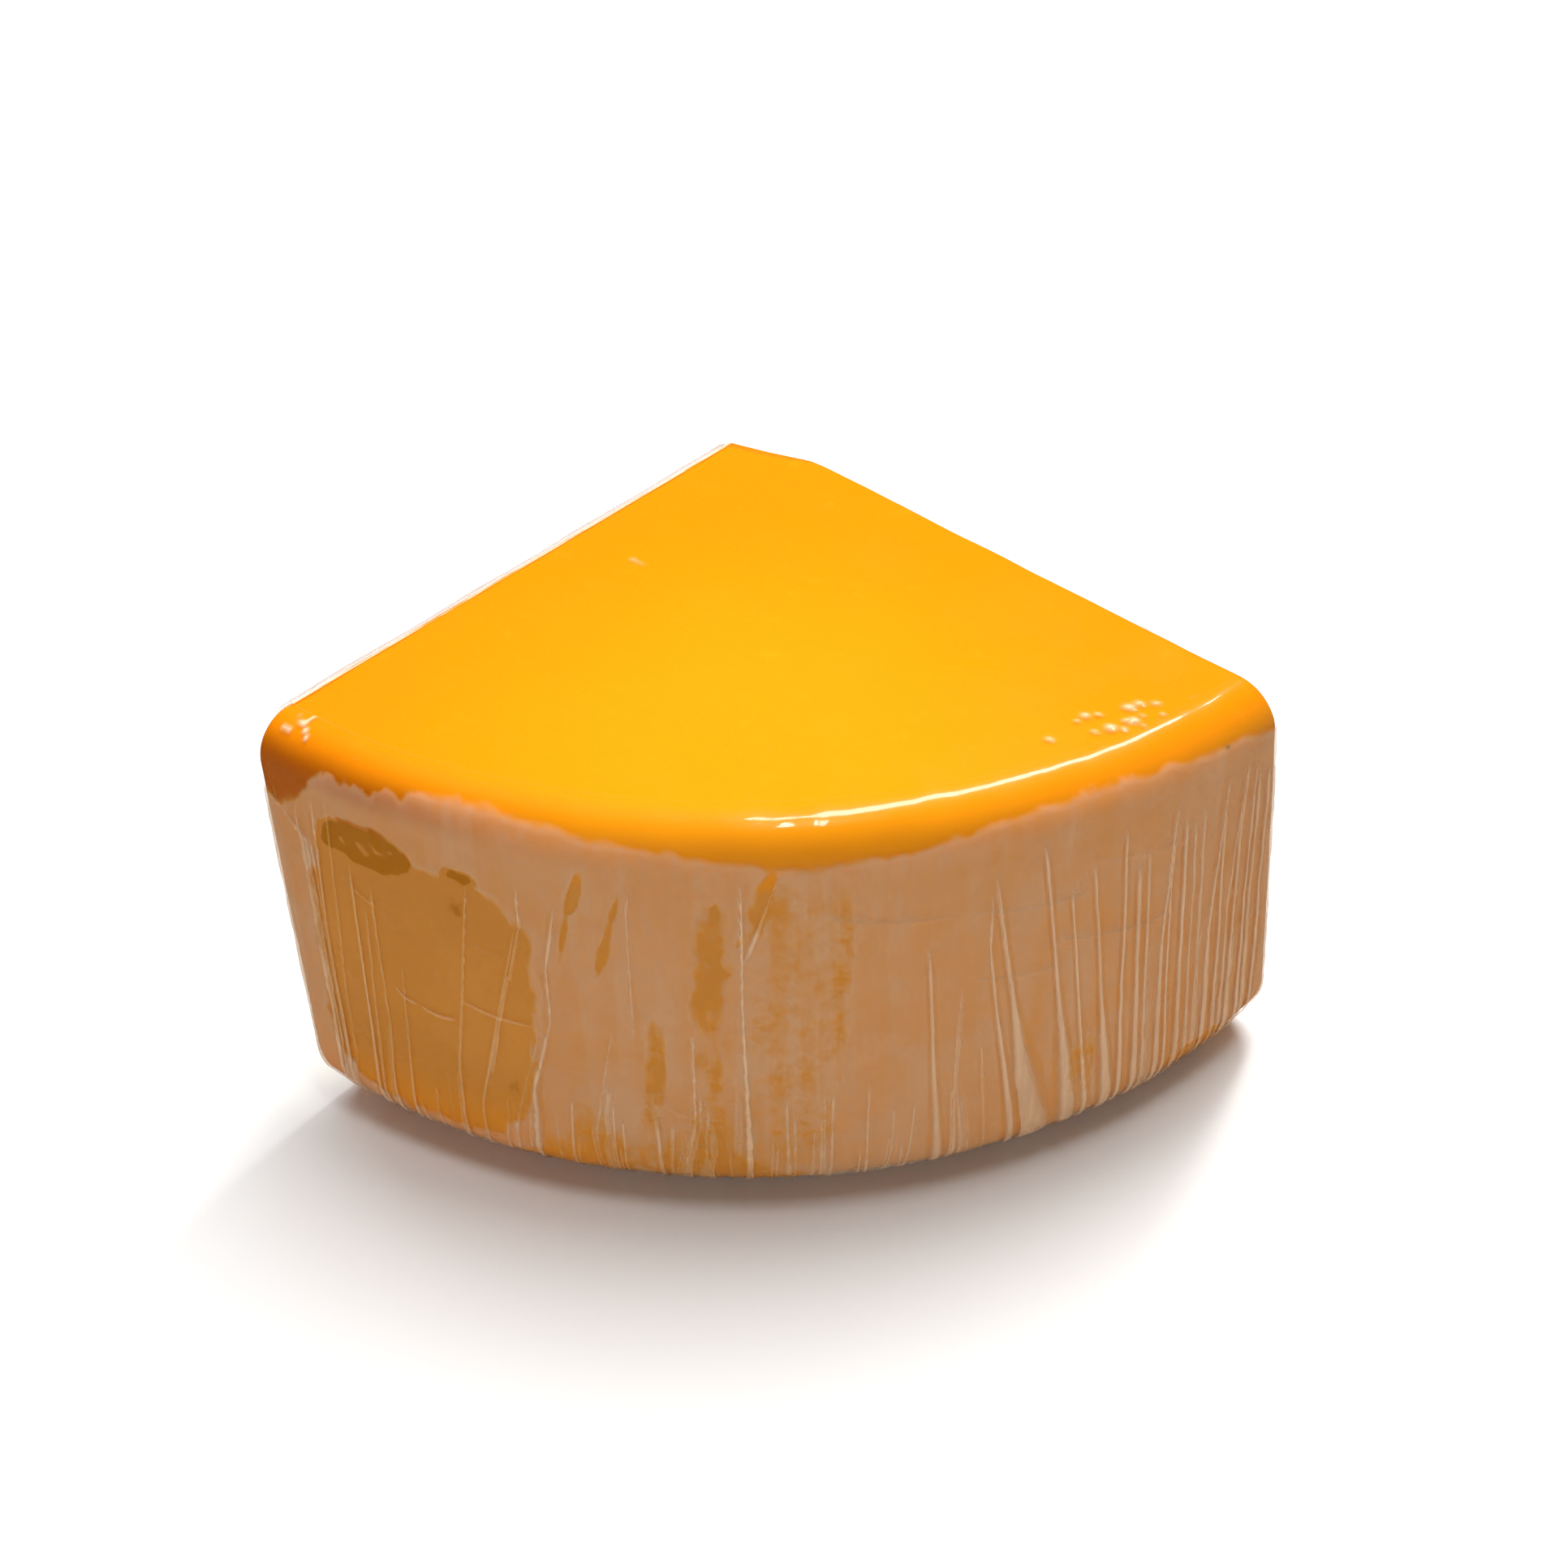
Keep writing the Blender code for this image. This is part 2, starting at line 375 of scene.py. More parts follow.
def fold_fields(folds, places):
    """The folds' relief in metres, and what draws them: a number that is whole on each fold, the gap
    between folds in half widths of the fold, and the fold's strength."""
    # One more fold far off on each side, so that every point lies between two
    far = [(side, 1.0, side, 0.0, 0.0, 1.0, 1.0) for side in (-1.0, 1.0)]
    top_girth, top, bottom_girth, bottom, weight, half_width, fan = np.array(sorted(
        folds + far, key=lambda fold: 0.6 * fold[2] + 0.4 * fold[0])).T
    share = (top / 1000 - places.drop[:, None]) / ((top - bottom) / 1000)
    line = top_girth + (bottom_girth - top_girth) * np.clip(share, 0, 1.25)
    line += 0.00008 * np.sin(places.drop[:, None] * 120 + top_girth * 900) * smooth_step(0, 0.4, share)
    spread = np.arange(line.shape[1]) * LEAST_GAP
    line = np.maximum.accumulate(line - spread, axis=1) + spread
    width = half_width / 1000 * (0.8 + (fan - 0.8) * smooth_step(0.35, 1.15, share) ** 1.2)
    strength = smooth_step(0.0, 0.10, share) * (0.85 + 0.15 * smooth_step(0.2, 1.0, share))
    fading = np.where(bottom > ENDS_ABOVE, 1 - smooth_step(0.8, 1.1, share), 1.0)
    strength *= fading * np.minimum(1.0, weight / FULL_FOLD)
    pleat, gap, near_width, near_strength, away = (np.empty(places.girth.shape) for _ in range(5))
    for row, girth in enumerate(places.girth):
        pleat[row] = np.interp(girth, line[row], np.arange(line.shape[1]))
        below = np.clip(pleat[row].astype(int), 0, line.shape[1] - 2)
        nearest = np.rint(pleat[row]).astype(int)
        gap[row] = line[row][below + 1] - line[row][below]
        near_width[row] = width[row][nearest]
        near_strength[row] = strength[row][nearest]
        away[row] = np.abs(girth - line[row][nearest])
    near_strength = near_strength * ~(places.tip | places.top)
    relief = FOLD_RELIEF * near_strength ** 2 * np.exp(-(away / (1.3 * near_width + 0.0002)) ** 2)
    return relief, pleat, gap / near_width, near_strength


# Creases across the folds: azimuth and height in mm at each end, and how white; below 0, darker, as painted
# shade.
CREASES = [
    (-30.8, 57, -28.6, 54, 0.8),
    (-28.6, 54, -25.2, 53, 0.8),
    (-25.0, 60, -18.6, 57, 0.55),
    (-34.2, 86, -31.0, 81, 0.30),
    (-24.0, 80, -19.5, 77, 0.20),
    (2.6, 96, 14.0, 91, -0.30),
    (14.0, 91, 25.0, 88, -0.30),
    (14.0, 71, 23.0, 68, -0.22),
    (20.6, 77, 33.0, 70, -0.28),
    (-8.8, 36, -3.6, 33, 0.25),
    (24.0, 96, 36.0, 90, 0.20),
]


def crease_marks(places):
    """How far each point is above the nearest crease, in mm, and that crease's whiteness close to it; below
    0, its painted shade.
    """
    spot = np.stack([places.girth, places.z], -1) * 1000
    above = np.full(places.z.shape, 6.0)
    white = np.zeros(places.z.shape)
    for from_azimuth, from_z, to_azimuth, to_z, strength in CREASES:
        start = np.array([at_rim(from_azimuth) * 1000, from_z])
        run = np.array([at_rim(to_azimuth) * 1000, to_z]) - start
        share = (spot[..., 0] - start[0]) / run[0]
        sag = 1.2 * np.sin(pi * np.clip(share, 0, 1))
        height = spot[..., 1] - start[1] - share * run[1] + sag
        ends = smooth_step(0, 0.2, share) * smooth_step(0, 0.2, 1 - share)
        near = (np.abs(height) < np.abs(above)) & (ends > 0)
        above = np.where(near, height, above)
        white = np.where(near, strength * ends * smooth_step(4, 2.5, np.abs(height)), white)
    return above, white * places.rim


# Where the film clings to the rind and shows it clear, in azimuth degrees and mm: middle, height, half
# width, half height, the slant of its sides in degrees per mm, how firmly it clings, how ragged it is.
# Below 0 the film only half clings; above WET it is wet right through, in a rounder patch.
WET = 5
CLEAR_PATCHES = [
    (-28.4, 57.5, 9.8, 40, 0.02, 2.6, 0.8),
    (-31.8, 98, 4.2, 7.0, 0.0, 9.0, 3.4),
    (-34.8, 96, 1.5, 4.0, 0.0, 9.0, 2.0),
    (-23.6, 98, 1.8, 2.6, 0.0, 9.0, 2.4),
    (-14.5, 100, 0.55, 7.5, 0.09, 9.0, 0.8),
    (-12.2, 90, 0.20, 8, 0.08, 9.0, 0.8),
    (-15.6, 88, 0.25, 7, 0.06, 6.0, 0.8),
    (-4.9, 80, 0.8, 17, 0.01, 0.1, 0.5),
    (-5.3, 52, 0.7, 9, 0.02, -0.2, 0.5),
    (-4.4, 97, 0.35, 4, 0.02, 5.5, 0.8),
    (-1.1, 99, 0.4, 11, 0.11, 0.4, 0.8),
    (-9.4, 42, 0.45, 14, 0.02, -0.2, 0.5),
    (1.2, 62, 3.6, 42, 0.02, -0.7, 0.2),
    (25.0, 30, 0.9, 7, 0.0, -0.4, 0.4),
    (37.5, 14, 3.4, 5, 0.0, 0.6, 1.2),
]
# Where the film parts from the rind, below the shoulder: azimuth and height in mm, at places picked in
# the photo like the folds' ends
HAZE_BORDER = [(-42.5, 101), (-40.6, 100), (-38.3, 103.5), (-36, 112), (-34, 115), (-31.8, 114), (-29, 116.5),
               (-25, 117.5), (-21, 117.5), (-17, 116.5), (-14, 115), (-9, 114), (-3, 111.5), (2.5, 109.5),
               (5.4, 111), (10, 111.5), (14.4, 114), (19.5, 115), (26.4, 116), (33.8, 113.5), (37.8, 113.5),
               (41.5, 110)]


def haze_margin(points):
    """How far, in mm, each point of the rind is inside the film's hazy areas; negative where it clings."""
    plan = points[..., :2] - APEX[:2]
    azimuth, z = np.degrees(np.arctan2(plan[..., 0], -plan[..., 1])), points[..., 2] * 1000
    shaken, torn = cloudy(points, 0.016, 40), cloudy(points, 0.0070, 52)
    border = np.interp(azimuth, *np.transpose(HAZE_BORDER))
    ragged = smooth_step(-24, -30, azimuth)
    border = border + (0.30 + 0.7 * ragged) * torn
    margin = border - z
    for middle, height, half_width, half_height, slant, firmness, rough in CLEAR_PATCHES:
        x = (azimuth - middle - slant * (z - height)) / half_width
        y = (z - height) / half_height
        corners, steepness = (2.4, 9.0) if firmness > WET else (4.0, 3.0)
        inside = (1 - (np.abs(x) ** corners + np.abs(y) ** corners) ** (1 / corners)) * half_width * steepness
        edge = min(rough, 0.8) * shaken + max(rough - 0.8, 0.0) * torn
        margin = np.minimum(margin, edge - np.minimum(inside, firmness))
    gathered = smooth_step(-21, -18, azimuth) * smooth_step(1, -3, azimuth)
    bottom = (z - 8 - 12 * gathered) * (0.35 - 0.25 * gathered)
    bottom = bottom - 0.5 * random_waves(points[..., :2], 0.024, 33)
    return np.minimum(margin, np.maximum(bottom, -1.2) + (0.6 - 0.4 * gathered) * shaken)


# Small blisters in the film on the top, by the right part of the rim: azimuth, mm in from the rim, size
BLISTERS = [(23.2, 17.5, 0.9), (26.6, 20.5, 0.7), (27.6, 21.2, 1.0), (28.6, 20.0, 0.8), (31.4, 18.4, 1.2),
            (32.4, 18.0, 1.0), (27.0, 15.2, 0.8), (28.4, 14.4, 1.2), (30.0, 14.6, 0.9), (30.6, 13.8, 1.1),
            (31.6, 14.2, 0.7), (33.6, 16.0, 0.9), (29.2, 12.6, 0.8), (33.0, 12.0, 0.7), (30.8, 11.4, 0.6)]
BLISTER_RADIUS = 0.0011
BLISTER_HEIGHT = 0.00035
# Short wrinkles in the film on the top, in mm from the wheel's centre: both ends, and the strength
WRINKLES = [
    (-106.2, -127.5, -104.4, -130.2, 1.4),
    (-104.4, -130.2, -103.6, -134.0, 1.4),
    (-104.4, -130.2, -102.4, -128.2, 1.1),
    (-109.6, -129.6, -107.8, -131.0, 1.2),
    (-32.6, -65.4, -29.8, -66.6, 0.6),
    (-29.8, -66.6, -28.4, -64.4, 0.5),
    (-4.4, -60.6, -3.0, -60.6, 0.5),
]


def wrinkles(points):
    """Strength of the short wrinkles at every point of the top."""
    plan = (points[..., :2] - APEX[:2]) * 1000
    total = np.zeros(points.shape[:-1])
    for *ends, strength in WRINKLES:
        start, run = np.array(ends[:2]), np.array(ends[2:]) - np.array(ends[:2])
        share = np.clip(((plan - start) @ run) / (run @ run), 0, 1)
        away = np.linalg.norm(plan - start - share[..., None] * run, axis=-1)
        total = np.maximum(total, strength * np.exp(-(away / 0.46) ** 2))
    return total * (points[..., 2] > HEIGHT - 0.006)


def blisters(points):
    """Height of the blisters at every point of the top, as a share of BLISTER_HEIGHT."""
    height = np.zeros(points.shape[:-1])
    for azimuth, inwards, size in BLISTERS:
        radius = WHEEL_RADIUS - inwards / 1000
        middle = APEX[:2] + radius * np.array([sin(radians(azimuth)), -cos(radians(azimuth))])
        away = np.linalg.norm(points[..., :2] - middle, axis=-1)
        height = np.maximum(height, size * np.exp(-(away / (BLISTER_RADIUS * size)) ** 2))
    return height * (points[..., 2] > HEIGHT - 0.006)


# ---- The pieces ----------------------------------------------------------------------------------
FILM_GRID = dict(rim=600, cut=70, tip=10, wall=56, shoulder=12)
FILM_BASE = stretches((OPENING_SHARE, 0.75, 8), (0.75, 1.0, 10))
FILM_TOP = stretches((0.02, 0.70, 9), (0.70, 0.885, 26), (0.885, 0.965, 6), (0.965, 1.0, 7))
COATING_COLUMNS = 260
COATING_WAVES = 0.00010
COATING_SUNK = 0.00015           # keeps the coating's waves below the film
CHEESE_GRID = dict(rim=180, cut=150, tip=24, wall=110, shoulder=10)
CHEESE_FLAT = stretches((0.03, 0.9, 8), (0.9, 1.0, 4))

FOLD_SEED = 7
# Heights of the film's relief, in metres
FOLD_RELIEF = 0.00022
HAZE_RELIEF = 0.00016
HAZE_WAVES = 0.00008
BROAD_WAVES = 0.00003
SHOULDER_WAVES = 0.00008         # they break up the streak of light on the right
LIP_RELIEF = 0.0007
HEM_RELIEF = 0.00012
WRINKLE_RELIEF = 0.00022
CREASE_RELIEF = 0.00007


def film_fields(rows):
    """The film's relief in metres, and the number layers that its material draws with."""
    places = Places(rows, FILM_GRID, len(FILM_BASE), len(FILM_TOP))
    rng = np.random.default_rng(FOLD_SEED)
    relief, pleat, fold_gap, fold = fold_fields(rim_folds(rng) + cut_folds(rng), places)
    margin = np.where(places.rim, haze_margin(rows), 1.3 * cloudy(rows, 0.028, 60) - 1.6)
    margin = np.where(places.top, -6.0, margin)
    margin = np.where(places.base, 2.5 * cloudy(rows, 0.016, 40), margin)
    loose = smooth_step(-1.0, 2.0, margin)
    upright = 1.0 * ~(places.top | places.base)
    relief += (HAZE_RELIEF + HAZE_WAVES * cloudy(rows, 0.014, 71)) * loose * upright
    relief += BROAD_WAVES * cloudy(rows, 0.020, 75)
    stiff = smooth_step(15, 25, np.degrees(places.girth / WHEEL_RADIUS)) * (places.z > HEIGHT - 0.009)
    relief += SHOULDER_WAVES * random_waves(rows, 0.0036, 76) * stiff * places.rim
    lip = np.exp(-(places.past_edge / 0.9) ** 2) * ~places.tip
    relief += lip * LIP_RELIEF * (0.8 + 0.2 * np.sin(places.girth * 160))
    relief += HEM_RELIEF * np.exp(-((places.past_edge - 1.9) / 0.35) ** 2) * places.top
    bubble = blisters(rows)
    wrinkle = wrinkles(rows)
    relief += bubble * BLISTER_HEIGHT + wrinkle * WRINKLE_RELIEF
    above_crease, crease = crease_marks(places)
    relief += CREASE_RELIEF * np.maximum(crease, 0) * np.exp(-(above_crease / 1.2) ** 2)
    veil = smooth_step(HEIGHT - 0.012, HEIGHT - 0.03, places.z) * np.exp(-(places.from_corner / 0.0035) ** 2)
    return relief, {
        "haze": margin,
        "pleat": pleat,
        "fold_gap": fold_gap,
        "fold": fold,
        "crease": crease,
        "above_crease": above_crease,
        "corner_veil": veil,
        # painted glint on the blisters and short wrinkles
        "blister": np.maximum(bubble, wrinkle),
        "past_edge": np.clip(places.past_edge, -FAR_FROM_EDGE, FAR_FROM_EDGE),
        "cut_face": 1.0 * ~(places.rim | places.top | places.base),
    }


def film_piece():
    """The cling film: one thin closed wall over everything, open in the middle of the base."""
    rows = wedge_rows(FILM_DEPTH, FILM_DEPTH, FILM_GRID, FILM_BASE, FILM_TOP)
    rows, normals = settle(rows, FILM_DEPTH, FILM_DEPTH, EDGE_ROUNDING)
    relief, layers = film_fields(rows)
    outer = rows + normals * relief[..., None]
    outer[..., 2] = np.maximum(outer[..., 2], LOW[2])
    inner = outer - normals * FILM_WALL
    inner[..., 2] = np.maximum(inner[..., 2], LOW[2] + FILM_WALL)
    both = np.concatenate([inner[::-1], outer])
    points, quads, fans = closed_rows(both)
    for name, values in layers.items():
        flat = np.concatenate([values[::-1], values]).reshape(-1)
        layers[name] = np.concatenate([flat, [values[-1].mean()] * 2])
    return make_piece("film_wrap", points, quads, fans, layers)


def coating_skin(inset):
    """Rows over the base, the side and the top, from cut to cut and from the tip's line to the tip's line."""
    steps = 3
    radius, z = profile(70, 14, inset)
    ring = outline(z, radius, COATING_COLUMNS, steps, steps, COATING_DEPTH)
    rim = ring[:, :COATING_COLUMNS]
    share = np.linspace(0, 1, COATING_COLUMNS)[None, :, None]
    right_tip = ring[:, COATING_COLUMNS + steps - 1, None]
    left_tip = ring[:, COATING_COLUMNS + 2 * steps - 1, None]
    tips = left_tip * (1 - share) + right_tip * share
    inwards = np.linspace(0, 1, 40)[1:, None, None]
    base = (rim[0] * (1 - inwards) + tips[0] * inwards)[::-1]
    top = rim[-1] * (1 - inwards) + tips[-1] * inwards
    return np.concatenate([base, rim, top])


def coating_piece():
    """The rind's coating: a thin skin under, round and over the cheese, cut flush with it."""
    outer, normals = settle(coating_skin(COATING_DEPTH), COATING_DEPTH, COATING_DEPTH, EDGE_ROUNDING)
    uneven = COATING_WAVES * cloudy(outer, 0.045, 11) * smooth_step(0.0, 0.01, outer[..., 2])
    outer = outer + normals * (uneven - COATING_SUNK)[..., None]
    inner_depth = COATING_DEPTH + COATING_WALL
    inner, _ = settle(coating_skin(inner_depth), inner_depth, COATING_DEPTH, SHARP)
    columns = np.concatenate([outer, inner[::-1]]).transpose(1, 0, 2)
    half = outer.shape[0]
    count = 2 * half
    quads = ring_faces(columns.shape[0], count)[:, ::-1]
    ends = []
    for start, way in ((0, 1), ((columns.shape[0] - 1) * count, -1)):
        for i in range(half - 1):
            quad = (start + i, start + i + 1, start + count - 2 - i, start + count - 1 - i)
            ends.append(quad[::way])
    points = columns.reshape(-1, 3)
    return make_piece("rind_skin", points, quads, ends, {"dry": haze_margin(points)})


EYE_SEED = 23
KNIFE_WAVES = 0.00008
DRAG_RELIEF = 0.00005
CUT_SUNK = 0.00018               # keeps the cut faces' relief below the film


def eyes(points):
    """Depth of the small round holes in the cut faces, at every point."""
    rng = np.random.default_rng(EYE_SEED)
    pits = np.zeros(points.shape[:-1])
    for side in (-1, 1):
        for _ in range(16):
            z = rng.uniform(0.014, 0.106)
            foot, along, _ = cut_line(side, np.array(z), COATING_DEPTH)
            middle = APEX + np.append(foot + along * rng.uniform(0.035, 0.155), z)
            size = rng.uniform(0.0012, 0.0030)
            away = np.linalg.norm(points - middle, axis=-1) / size
            pits = np.maximum(pits, size * 0.8 * np.sqrt(np.clip(1 - away ** 2, 0, 1)))
    return pits


def cheese_piece():
    """The cheese: one solid, with small eyes and the knife's drag marks in its cut faces."""
    rows = wedge_rows(CHEESE_DEPTH, COATING_DEPTH, CHEESE_GRID, CHEESE_FLAT, CHEESE_FLAT)
    rows, normals = settle(rows, CHEESE_DEPTH, COATING_DEPTH, SHARP)
    index = np.arange(rows.shape[1])
    on_cut = np.broadcast_to(index >= CHEESE_GRID["rim"], rows.shape[:2])
    away_from_edges = smooth_step(0.004, 0.006, np.minimum(rows[..., 2], HEIGHT - rows[..., 2]))
    drag = DRAG_RELIEF * np.sin(rows[..., 2] * 900 + 3 * cloudy(rows, 0.05, 85))
    relief = KNIFE_WAVES * cloudy(rows, 0.030, 81) + drag - CUT_SUNK - eyes(rows)
    rows = rows + normals * (relief * on_cut * away_from_edges)[..., None]
    return make_piece("cheese_paste", *closed_rows(rows))


# ---- Materials -----------------------------------------------------------------------------------
class Look:
    """A material's node tree being built: most calls add a node and return one of its outputs."""

    def __init__(self, name):
        self.material = bpy.data.materials.new(name)
        self.material.use_nodes = True
        self.tree = self.material.node_tree
        self.shader = self.tree.nodes["Principled BSDF"]

    def node(self, kind, out=0, **settings):
        made = self.tree.nodes.new(kind)
        for key, value in settings.items():
            if key in made.inputs.keys() or key.isdigit():
                socket = made.inputs[int(key)] if key.isdigit() else made.inputs[key]
                if isinstance(value, bpy.types.NodeSocket):
                    self.tree.links.new(value, socket)
                else:
                    socket.default_value = value
            else:
                setattr(made, key, value)
        return made.outputs[out]

    def link(self, output, name):
        self.tree.links.new(output, self.shader.inputs[name])

    def set(self, **values):
        for name, value in values.items():
            self.shader.inputs[name.replace("_", " ")].default_value = value

    def maths(self, operation, a, b=0.0, clamp=False):
        return self.node("ShaderNodeMath", operation=operation, use_clamp=clamp, **{"0": a, "1": b})

    def noise(self, scale, detail=4.0, roughness=0.55, stretch=None):
        place = self.node("ShaderNodeTexCoord", out="Object")
        if stretch:
            place = self.node("ShaderNodeMapping", Vector=place, Scale=stretch)
        return self.node("ShaderNodeTexNoise", Vector=place, Scale=scale, Detail=detail,
                         Roughness=roughness)

    def between(self, value, low, high, to_low=0.0, to_high=1.0):
        made = self.tree.nodes.new("ShaderNodeMapRange")
        made.interpolation_type = "SMOOTHSTEP"
        self.tree.links.new(value, made.inputs["Value"])
        for name, number in (("From Min", low), ("From Max", high), ("To Min", to_low), ("To Max", to_high)):
            made.inputs[name].default_value = number
        return made.outputs[0]

    def mix(self, share, a, b):
        made = self.tree.nodes.new("ShaderNodeMix")
        made.data_type = "RGBA"
        # A mix node's sockets share their names between its types: 6 and 7 in, and 2 out, are colours
        for socket, value in ((made.inputs[0], share), (made.inputs[6], a), (made.inputs[7], b)):
            if isinstance(value, bpy.types.NodeSocket):
                self.tree.links.new(value, socket)
            else:
                socket.default_value = value
        return made.outputs[2]

    def bump(self, height, strength, distance):
        made = self.tree.nodes.new("ShaderNodeBump")
        made.inputs["Strength"].default_value = strength
        made.inputs["Distance"].default_value = distance
        self.tree.links.new(height, made.inputs["Height"])
        self.tree.links.new(made.outputs[0], self.shader.inputs["Normal"])


# Painted glare: the top's colour turns brighter towards a spot in the front middle of the top.
TOP_GLARE_PLACE = (-0.012, -0.055, HEIGHT)
TOP_GLARE = (1.0, 0.345, 0.002, 1)
TOP_EDGE = (1.0, 0.280, 0.0, 1)
TOP_MOTTLE = (1.0, 0.46, 0.02, 1)
# Painted shade: the shoulder a little darker than the top, and much darker towards the left corner.
SHOULDER = (0.90, 0.300, 0.006, 1)
LEFT_SHOULDER_SHADE = (0.55, 0.120, 0.0, 1)
# The side's colours are darker than the top's as painted shade; among them, darker where the film clings
# wetly.
SIDE_WET_SHADED = (0.68, 0.262, 0.038, 1), (0.74, 0.292, 0.046, 1)
SIDE_WETTEST_SHADED = (0.51, 0.168, 0.001, 1)
SIDE_DRY_SHADED = (0.74, 0.285, 0.040, 1)
# Painted bounce light: a brighter orange along the foot of the side, on its left part.
SIDE_FOOT_BOUNCE_LIGHT = (0.96, 0.315, 0.012, 1)
SPECK = (0.10, 0.035, 0.002, 1)
SPECK_SHARE = 0.84               # cells above this have a speck


def coating_look():
    """Glossy orange-yellow plastic: a painted glare on the top, painted shade on the shoulder and down the
    side, a painted bounce light low on the left, darkest where the film clings wetly to it.
    """
    look = Look("yellow_rind_coating")
    place = look.node("ShaderNodeTexCoord", out="Object")
    across = look.node("ShaderNodeSeparateXYZ", out="X", Vector=place)
    height = look.node("ShaderNodeSeparateXYZ", out="Z", Vector=place)
    broad = look.noise(14.0, detail=3.0)
    # Painted glare: the top is brighter near its front middle and a deeper orange away from it.
    middle = look.node("ShaderNodeVectorMath", operation="DISTANCE", out="Value",
                       **{"0": place, "1": TOP_GLARE_PLACE})
    middle = look.maths("ADD", middle, look.maths("MULTIPLY", broad, 0.04))
    top = look.mix(look.between(middle, 0.035, 0.125), TOP_GLARE, TOP_EDGE)
    fine = look.noise(130.0, detail=4.0)
    top = look.mix(look.between(fine, 0.60, 0.80, 0.0, 0.15), top, TOP_MOTTLE)
    # Painted shade on the shoulder, deepening towards the left corner.
    shade_to_left = look.between(across, -0.040, -0.104)
    shoulder = look.mix(shade_to_left, SHOULDER, LEFT_SHOULDER_SHADE)
    colour = look.mix(look.between(height, HEIGHT - 0.0005, HEIGHT - 0.007), top, shoulder)
    dry = look.node("ShaderNodeAttribute", out="Fac", attribute_name="dry")
    ragged = look.maths("MULTIPLY", look.maths("SUBTRACT", look.noise(200.0, detail=5.0), 0.5), 4.0)
    dry = look.maths("ADD", dry, ragged)
    # Down the side the colour is darkened as painted shade.
    wet = look.mix(look.between(broad, 0.35, 0.65), *SIDE_WET_SHADED)
    wet = look.mix(look.between(dry, -4.4, -5.6), wet, SIDE_WETTEST_SHADED)
    dryness = look.between(dry, -1.0, 1.5)
    side = look.mix(dryness, wet, SIDE_DRY_SHADED)
    # Painted bounce light low on the left of the side.
    foot_bounce_light = look.maths("MULTIPLY", look.between(height, 0.038, 0.006),
                      look.between(across, -0.03, -0.075, 0.15, 1.0))
    side = look.mix(foot_bounce_light, side, SIDE_FOOT_BOUNCE_LIGHT)
    # Where the top's and shoulder's colours give way to the side's darker, painted-shade colours.
    bare = look.maths("MULTIPLY", look.between(height, HEIGHT - 0.014, HEIGHT - 0.018),
                      look.maths("SUBTRACT", 1.0, dryness))
    bare = look.maths("MULTIPLY", bare, look.between(across, -0.117, -0.110))
    covered = look.maths("MULTIPLY", look.between(height, HEIGHT - 0.006, HEIGHT - 0.013), dryness)
    colour = look.mix(look.maths("ADD", bare, covered, clamp=True), colour, side)
    cells = look.tree.nodes.new("ShaderNodeTexVoronoi")
    cells.inputs["Scale"].default_value = 40.0
    look.tree.links.new(place, cells.inputs["Vector"])
    dots = look.between(cells.outputs["Distance"], 0.018, 0.034, 1.0, 0.0)
    picked = look.node("ShaderNodeSeparateColor", Color=cells.outputs["Color"])
    dots = look.maths("MULTIPLY", dots, look.maths("GREATER_THAN", picked, SPECK_SHARE))
    colour = look.mix(look.maths("MULTIPLY", dots, 0.7), colour, SPECK)
    look.link(colour, "Base Color")
    look.link(look.between(look.noise(60.0), 0.3, 0.7, 0.22, 0.32), "Roughness")
    look.set(Specular_IOR_Level=0.10, Coat_Weight=0.45, Coat_Roughness=0.03, Subsurface_Weight=0.08,
             Subsurface_Scale=0.002, Subsurface_Radius=(1.0, 0.4, 0.1))
    look.bump(look.noise(420.0, detail=2.0), 0.12, 0.0002)
    return look.material


PASTE = (0.86, 0.60, 0.20, 1), (0.90, 0.68, 0.27, 1)
PASTE_GRAIN = (0.95, 0.78, 0.40, 1)


def cheese_look():
    """Pale yellow paste, slightly waxy, with a fine grain and faint broad patches."""
    look = Look("cheese_paste")
    broad = look.noise(22.0, detail=3.0)
    colour = look.mix(look.between(broad, 0.35, 0.7), *PASTE)
    fine = look.noise(240.0, detail=5.0)
    colour = look.mix(look.between(fine, 0.52, 0.75, 0.0, 0.35), colour, PASTE_GRAIN)
    look.link(colour, "Base Color")
    look.link(look.between(look.noise(90.0), 0.3, 0.7, 0.34, 0.5), "Roughness")
    look.set(Subsurface_Weight=0.35, Subsurface_Scale=0.006, Subsurface_Radius=(1.0, 0.65, 0.25),
             Specular_IOR_Level=0.4)
    look.bump(look.noise(520.0, detail=4.0), 0.35, 0.0004)
    return look.material


HAZE_AND_REFLECTION_OPACITY = 0.18              # these are for one wall of the film; a look passes through two
FOLD_OPACITY = 0.62
CREASE_OPACITY = 0.32
LIP_OPACITY = 0.06
GRAZING_REFLECTION_OPACITY = 0.22
CLEAR_OPACITY = 0.008
CORNER_OPACITY = 0.16
BLISTER_GLINT_OPACITY = 0.42
STRIP_OPACITY = 0.22
GLINT_OPACITY = 0.45
FILM_CLEAR = (1.0, 0.55, 0.10, 1)
# The haze: partly the loose film's own milkiness, partly a painted reflection of the pale floor.
FILM_HAZE_AND_REFLECTION = (1.0, 0.71, 0.42, 1)
FILM_FOLD = (1.0, 0.62, 0.35, 1)
FILM_CREASE_SHADE = (0.50, 0.27, 0.10, 1)
FILM_ON_CUT = (1.0, 0.93, 0.78, 1)
FILM_STRIP = (0.62, 0.45, 0.33, 1)
FILM_GLINT = (1.0, 0.95, 0.65, 1)


